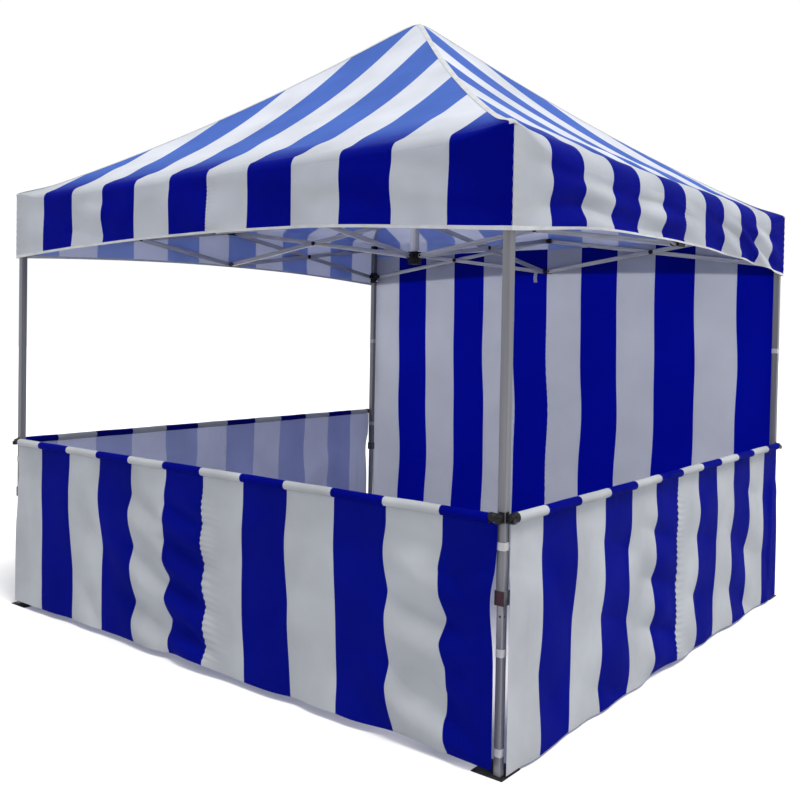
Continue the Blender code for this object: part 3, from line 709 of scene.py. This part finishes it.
def add_full_wall():
    """The back wall, hung inside out from the truss to the ground, in shallow folds, bound at its sides."""
    k = 2  # the back
    wide = full_high.x
    band = 0.010  # width of the binding at each side
    columns, stripes = stripe_columns(wide - band, 12, 12)
    columns = np.concatenate([[-wide], columns, [wide]])
    rows = steps(full_low.z, full_high.z, 190)
    t, z = np.meshgrid(columns, rows)
    drop = (full_high.z - z) / (full_high.z - full_low.z)
    bend = VALANCE - 0.02  # above this the wall lies flat behind the valance
    face = LEG + 0.0209  # clear of the legs' outer faces
    stand_off = full_high.y - face
    edge = wide - np.abs(t)
    free = ease((bend - z) / 0.6)
    waves = [(0.8, 0.2, 0.9, 0.6), (1.9, -0.25, 2.2, 0.5), (3.6, 0.3, 1.0, 0.25), (0.4, 1.3, 0.3, 0.3)]
    swing = (0.0075 * ripple(t, z, waves) + 0.006) * free * ease(edge / 0.25)
    out = face + stand_off * np.clip((bend - z) / (bend - full_low.z), 0, 1) + swing
    out = out + pucker(t, z, 0.0022, 0.045) * free
    gathers = 0.0022 * np.sin(2 * math.pi * t / 0.09) * np.exp(-((z - 1.93) / 0.10) ** 2) * ease(edge / 0.1)
    out = np.maximum(out + gathers * (z < bend + 0.02), face)
    sway = 0.0090 * ripple(t, z, [(0.2, 0.75, 0.4, 0.8), (-0.3, 1.6, 1.2, 0.4)]) * ease(drop * 2)
    cloth = Cloth()
    points = side_to_row(k, t + sway * ease(edge / 0.2), out, z)
    uv = np.stack([t + UV_SIDE * k, z + FULL_WALL_V], -1)

    def slot_of(i, j):
        if i == 0 or i == len(columns) - 2:
            return TAPE_SLOT
        # Turned inside out, its stripes run the other way round.
        return stripe_slot(stripes[i - 1] + 1)

    cloth.grid(points, uv, slot_of)
    made = cloth.build("full_wall_cloth", TURNED_SET, "middle_top_back", ("full_wall_back",))
    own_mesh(made)


# ---------------- straps

STRAP_CORNER = 0.003  # radius of a strap's corners
STRAP_LAPS = 1.22  # how often it goes round its leg
STRAP_HALF = 0.0135  # half its width
STRAP_THICK = 0.0013
# Heights of the straps' middles.
STRAP_HIGH, STRAP_MIDDLE, STRAP_LOW, WALL_STRAP = 0.775, 0.417, 0.082, 1.410


def square_loop(half, laps):
    """Points round a square with rounded corners, from the middle of its first face."""
    parts, corner_steps = [], 4
    flat = half - STRAP_CORNER
    for lap in range(math.ceil(laps)):
        for side in range(4):
            turn = side * math.pi / 2
            if side == 0:
                parts.append((half, 0.0 if lap == 0 else -flat / 2, turn))
            for i in range(corner_steps + 1):
                angle = i * (math.pi / 2) / corner_steps
                parts.append((flat + STRAP_CORNER * math.cos(angle), flat + STRAP_CORNER * math.sin(angle),
                              turn))
    points = []
    for x, y, turn in parts:
        c, s = math.cos(turn), math.sin(turn)
        points.append((x * c - y * s, x * s + y * c))
    return points[:max(4, int(len(points) * laps / math.ceil(laps)))]


def add_strap(name, k, z, half, body):
    """A hook-and-loop strap round the leg at corner k, its end lapped over itself on the first face."""
    high, thick, slack = STRAP_HALF, STRAP_THICK, 0.0005
    loop = square_loop(half + slack, STRAP_LAPS)
    first_lap = len(square_loop(half + slack, 1.0))
    points, faces, uvs = [], [], []
    length = 0.0
    for i, (x, y) in enumerate(loop):
        over = thick + 0.0003 if i >= first_lap else 0.0
        norm = math.hypot(x, y)
        if i:
            length += math.hypot(x - loop[i - 1][0], y - loop[i - 1][1])
        for step, level in ((over, -high), (over + thick, -high), (over + thick, high), (over, high)):
            points.append((x * (1 + step / norm), y * (1 + step / norm), z + level))
            uvs.append((length, level + (0.03 if step > over else 0.0)))
    for i in range(len(loop) - 1):
        for j in range(4):
            a, b = 4 * i + j, 4 * i + (j + 1) % 4
            faces.append((a, a + 4, b + 4, b))
    faces += [(0, 1, 2, 3), tuple(4 * (len(loop) - 1) + j for j in (3, 2, 1, 0))]
    place = quarter(k) @ Matrix.Translation((LEG, -LEG, 0.0)) @ Matrix.Rotation(-math.pi / 2, 4, "Z")
    mesh = new_mesh(name, [tuple(place @ Vector(p)) for p in points], faces)
    layer = mesh.uv_layers.new(name="UVMap")
    for corner in mesh.loops:
        layer.data[corner.index].uv = uvs[corner.vertex_index]
    fix = bmesh.new()
    fix.from_mesh(mesh)
    bmesh.ops.recalc_face_normals(fix, faces=fix.faces)
    fix.to_mesh(mesh)
    fix.free()
    mesh.shade_smooth()
    mesh.set_sharp_from_angle(angle=math.radians(40))
    made = add_object(name, mesh, [strap_grey], body)
    soft = made.modifiers.new("soft edges", "BEVEL")
    soft.width = 0.0004
    soft.segments = 2
    soft.limit_method = "ANGLE"
    soft.angle_limit = math.radians(50)


def add_straps():
    """The walls' straps: one on each leg under its rail hooks, two lower ones on each front leg, one on each
    back leg for the full wall, and a loose one. The lower ones go with the outer legs, although they go
    round the inner ones, because the inner legs would slide them up into the outer ones."""
    for k, corner in enumerate(CORNERS):
        add_strap(f"strap_high_{corner}", k, STRAP_HIGH, OUTER_HALF, f"outer_leg_{corner}")
    for k in (0, 3):
        add_strap(f"strap_middle_{CORNERS[k]}", k, STRAP_MIDDLE, INNER_HALF, f"outer_leg_{CORNERS[k]}")
        add_strap(f"strap_low_{CORNERS[k]}", k, STRAP_LOW, INNER_HALF, f"outer_leg_{CORNERS[k]}")
    for k in (1, 2):
        add_strap(f"wall_strap_{CORNERS[k]}", k, WALL_STRAP, OUTER_HALF, f"outer_leg_{CORNERS[k]}")
    add_hanging_strap()


def add_hanging_strap():
    """The loose end of the strap that ties the full wall to the middle of the back truss."""
    rows = steps(0.0, 1.0, 12)
    t, down = np.meshgrid(steps(-0.0125, 0.0125, 4), rows[::-1])
    out = LEG - 0.046 - 0.010 * np.sin(math.pi * down) - 0.006 * down
    top, long, aside = 1.900, 0.070, 0.046
    z = top - long * down
    cloth = Cloth()
    cloth.grid(side_to_row(2, t + aside, out, z), np.stack([t, z], -1), lambda i, j: 0)
    cloth.build("hanging_strap", [strap_grey, strap_grey], "middle_bottom_back", ())


# ---------------- the frame

SAME_POINT = 2e-6  # points of a CAD mesh that are closer than this are merged
FLAT_WITHIN = math.radians(1.5)  # faces that meet at less than this become one
SOFT_FROM = math.radians(38)  # edges sharper than this are softened


def refined(node, body, materials, choose=None, width=0.0007):
    """A copy of a CAD node's shape with soft edges. choose gives a face's material by its centre."""
    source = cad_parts[node]
    mesh = bpy.data.meshes.new(node + "_finish")
    work = bmesh.new()
    work.from_mesh(source.data)
    bmesh.ops.remove_doubles(work, verts=work.verts, dist=SAME_POINT)
    bmesh.ops.dissolve_limit(work, angle_limit=FLAT_WITHIN, verts=work.verts, edges=work.edges)
    for face in work.faces:
        face.material_index = choose(face.calc_center_median()) if choose else 0
    work.to_mesh(mesh)
    work.free()
    mesh.shade_smooth()
    made = add_object(node + "_finish", mesh, materials, body, (node,))
    soft = made.modifiers.new("soft edges", "BEVEL")
    soft.width = width
    soft.segments = 2
    soft.limit_method = "ANGLE"
    soft.angle_limit = SOFT_FROM
    soft.harden_normals = True
    soft.use_clamp_overlap = True


def corner_local(k, point):
    """A point as seen from corner k's leg: from its centre line, with side k's outside at -y."""
    local = quarter(-k) @ point
    return Vector((local.x - LEG, local.y + LEG, local.z))


COLLAR_HIGH = 0.051  # how far the collar reaches above an outer leg's lower end
BRACKET_LOW = 2.080  # all that is higher belongs to the corner bracket
HOOKS_ABOVE = 0.80  # from here up to the bracket only the hooks stand off the tube
FOOT_BELOW = 0.0045  # a face whose middle is lower belongs to the foot plate


def add_legs():
    """The legs' tubes in metal, with nylon brackets, hooks, collars and foot plates."""
    for k, corner in enumerate(CORNERS):
        def outer_part(point, k=k):
            local = corner_local(k, point)
            off_tube = max(abs(local.x), abs(local.y)) > OUTER_HALF + 0.0004
            if local.z > BRACKET_LOW or (off_tube and local.z > HOOKS_ABOVE):
                return 1
            if local.z < LEG_LOW + COLLAR_HIGH and off_tube:
                # The lock's release is on the face towards side k.
                return 2 if local.y < -OUTER_HALF else 3
            return 0

        def inner_part(point):
            return 1 if point.z < FOOT_BELOW else 0

        refined(f"outer_leg_{corner}", f"outer_leg_{corner}",
                [leg_metal, black, maroon, collar_grey], outer_part)
        refined(f"inner_leg_{corner}", f"inner_leg_{corner}",
                [inner_metal, black], inner_part)


HUB_BODY = 0.075  # height of the upper hub's nylon body, above its metal guide


def add_truss():
    for side in SIDES:
        for half in ("end", "start"):
            for layer in ("outer", "inner"):
                bar = f"bar_{side}_{half}_{layer}"
                refined(bar, bar, [bar_metal])
        for spoke in (f"spoke_down_{side}", f"spoke_up_{side}"):
            refined(spoke, spoke, [bar_metal])
        refined(f"middle_bracket_top_{side}", f"middle_top_{side}", [black])
        refined(f"middle_bracket_bottom_{side}", f"middle_bottom_{side}", [black])
    hub_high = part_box("upper_hub")[1].z
    refined("upper_hub", "root", [black, pole_metal_painted_light],
            lambda point: 1 if point.z < hub_high - HUB_BODY else 0)
    refined("lower_hub", "lower_hub", [black])
    refined("peak_pole", "lower_hub", [pole_metal_painted_light])
    refined("peak_cap", "lower_hub", [black], width=0.002)
    for corner in CORNERS:
        refined(f"slider_{corner}", f"slider_{corner}", [black])
        refined(f"slider_pin_{corner}", f"slider_pin_{corner}", [steel])


def lathe(profile, sides):
    """A turned mesh about the z axis from (radius, z) points, bottom to top; radius 0 closes an end."""
    points, faces, rings = [], [], []
    for radius, z in profile:
        if radius == 0:
            rings.append([len(points)] * sides)
            points.append((0.0, 0.0, z))
            continue
        rings.append(list(range(len(points), len(points) + sides)))
        angles = [2 * math.pi * i / sides for i in range(sides)]
        points += [(radius * math.cos(a), radius * math.sin(a), z) for a in angles]
    for low, high in zip(rings, rings[1:]):
        for i in range(sides):
            j = (i + 1) % sides
            face = [low[i], low[j], high[j], high[i]]
            face = [v for n, v in enumerate(face) if v not in face[:n]]
            if len(face) > 2:
                faces.append(face)
    return points, faces


def solid_mesh(name, points, faces, matrix):
    """A smooth mesh with sharp corners, placed by a matrix."""
    mesh = new_mesh(name, [tuple(matrix @ Vector(p)) for p in points], faces)
    mesh.shade_smooth()
    mesh.set_sharp_from_angle(angle=math.radians(40))
    return mesh


def add_crossing_bolts():
    """Black caps on both ends of the bolt where each pair of bars crosses."""
    profile = [(0, -0.0004), (0.0138, -0.0004), (0.0138, 0.0022), (0.0124, 0.0034), (0.0058, 0.0034),
               (0.0052, 0.0052), (0, 0.0052)]
    cap = lathe(profile, 20)

    def add(bar, centre, away):
        """Both caps turn with the bar that holds the pin; away points from the other bar towards this one."""
        for label, facing, reach in (("", away, OWN_FACE), ("_nut", -away, PIN_END)):
            turn = facing.to_track_quat("Z", "Y").to_matrix().to_4x4()
            place = Matrix.Translation(centre + facing * reach) @ turn
            mesh = solid_mesh(f"bolt_{bar}{label}", *cap, place)
            add_object(f"bolt_{bar}{label}", mesh, [black], bar)

    for k, side in enumerate(SIDES):
        outwards = Vector(side_to_row(k, 0.0, 1.0, 0.0))
        along = Vector(side_to_row(k, 1.0, 0.0, 0.0))
        for sign, half in ((1, "end"), (-1, "start")):
            centre = Vector(side_to_row(k, sign * BAR_CROSSING, LEG, CROSSING_Z))
            add(f"bar_{side}_{half}_outer", centre, outwards)
        add(f"spoke_up_{side}", Vector(side_to_row(k, 0.0, SPOKE_CROSSING, CROSSING_Z)), -along)


def add_rails():
    """Round rails, each end in a black plug with a collar against the cloth and a stem in the leg's hook."""
    plug_in = 1.4445  # middle of a side to the plug's inner end
    for k in (0, 1, 3):
        rail = f"rail_{SIDES[k]}"
        centre_line = Matrix.Translation((0, RAIL_Y, RAIL_Z))
        lie_along = quarter(k) @ centre_line @ Matrix.Rotation(math.pi / 2, 4, "Y")
        tube_end = plug_in + 0.004
        tube = lathe([(0, -tube_end), (0.0123, -tube_end), (0.0123, tube_end), (0, tube_end)], 32)
        add_object(rail + "_tube", solid_mesh(rail + "_tube", *tube, lie_along), [rail_metal], rail,
                   (rail,))
        stem = RAIL_END - plug_in
        profile = [(0, 0), (0.0152, 0), (0.0162, 0.0012), (0.0162, 0.0060), (0.0152, 0.0072),
                   (0.0152, 0.0100), (0.0160, 0.0110), (0.0160, 0.0150), (0.0152, 0.0160),
                   (0.0150, 0.0262), (0.0138, 0.0276), (0.0124, 0.0280), (0.0124, stem - 0.004),
                   (0.0115, stem - 0.0012), (0.0095, stem), (0, stem)]
        for label, sign in (("start", -1), ("end", 1)):
            turn = Matrix.Translation((0, 0, sign * plug_in))
            if sign < 0:
                turn = turn @ Matrix.Rotation(math.pi, 4, "X")
            mesh = solid_mesh(f"{rail}_plug_{label}", *lathe(profile, 32), lie_along @ turn)
            add_object(f"{rail}_plug_{label}", mesh, [black], rail)


# ---------------- camera, light, floor

CAMERA_PLACE = (3.11, -4.21, 1.48)
CAMERA_TURN, CAMERA_TILT, CAMERA_ROLL = 39.6, 1.25, 0.96  # degrees, to the left, down and over
SUN_FROM = (0.36, -0.10, 0.92)  # direction from the canopy to the sun


def add_camera():
    turn, tilt, roll = (math.radians(angle) for angle in (CAMERA_TURN, CAMERA_TILT, CAMERA_ROLL))
    forward = Vector((-math.sin(turn) * math.cos(tilt), math.cos(turn) * math.cos(tilt), -math.sin(tilt)))
    right = forward.cross(Vector((0, 0, 1))).normalized()
    up = right.cross(forward)
    tilted_right = right * math.cos(roll) + up * math.sin(roll)
    tilted_up = up * math.cos(roll) - right * math.sin(roll)
    data = bpy.data.cameras.new("camera")
    data.lens = 42.64
    data.sensor_width = 36.0
    data.shift_x = 0.0488
    data.shift_y = -0.0594
    camera = new_object("camera", data)
    turned = Matrix((tilted_right, tilted_up, -forward)).transposed().to_4x4()
    camera.matrix_world = Matrix.Translation(CAMERA_PLACE) @ turned
    bpy.context.scene.camera = camera


def add_stage():
    """A pale floor, an even white sky and a soft sun."""
    wide = 60.0
    corners = [(-wide, -wide, 0), (wide, -wide, 0), (wide, wide, 0), (-wide, wide, 0)]
    mesh = new_mesh("floor", corners, [(0, 1, 2, 3)])
    floor = new_object("floor", mesh)
    look = Look("floor_pale", 0.9)
    look.shader.inputs["Base Color"].default_value = (0.66, 0.66, 0.67, 1.0)
    look.shader.inputs["Specular IOR Level"].default_value = 0.1
    mesh.materials.append(look.material)
    world = bpy.data.worlds.new("studio")
    world.use_nodes = True
    background = world.node_tree.nodes["Background"]
    background.inputs["Color"].default_value = (0.985, 0.99, 1.0, 1.0)
    background.inputs["Strength"].default_value = 1.04
    bpy.context.scene.world = world
    bpy.context.scene.view_settings.view_transform = "Standard"
    sun = bpy.data.lights.new("sun", "SUN")
    sun.energy = 3.6
    sun.angle = math.radians(20)
    sun.color = (1.0, 0.985, 0.95)
    light = new_object("sun", sun)
    light.rotation_euler = Vector(SUN_FROM).to_track_quat("Z", "Y").to_euler()


add_camera()
add_stage()
add_legs()
add_truss()
add_crossing_bolts()
add_rails()
add_straps()
for k in range(4):
    for half in ("start", "end"):
        add_roof_half(k, half)
for k in range(4):
    add_valance(k)
for k in (0, 1, 3):
    add_half_wall(k)
add_full_wall()
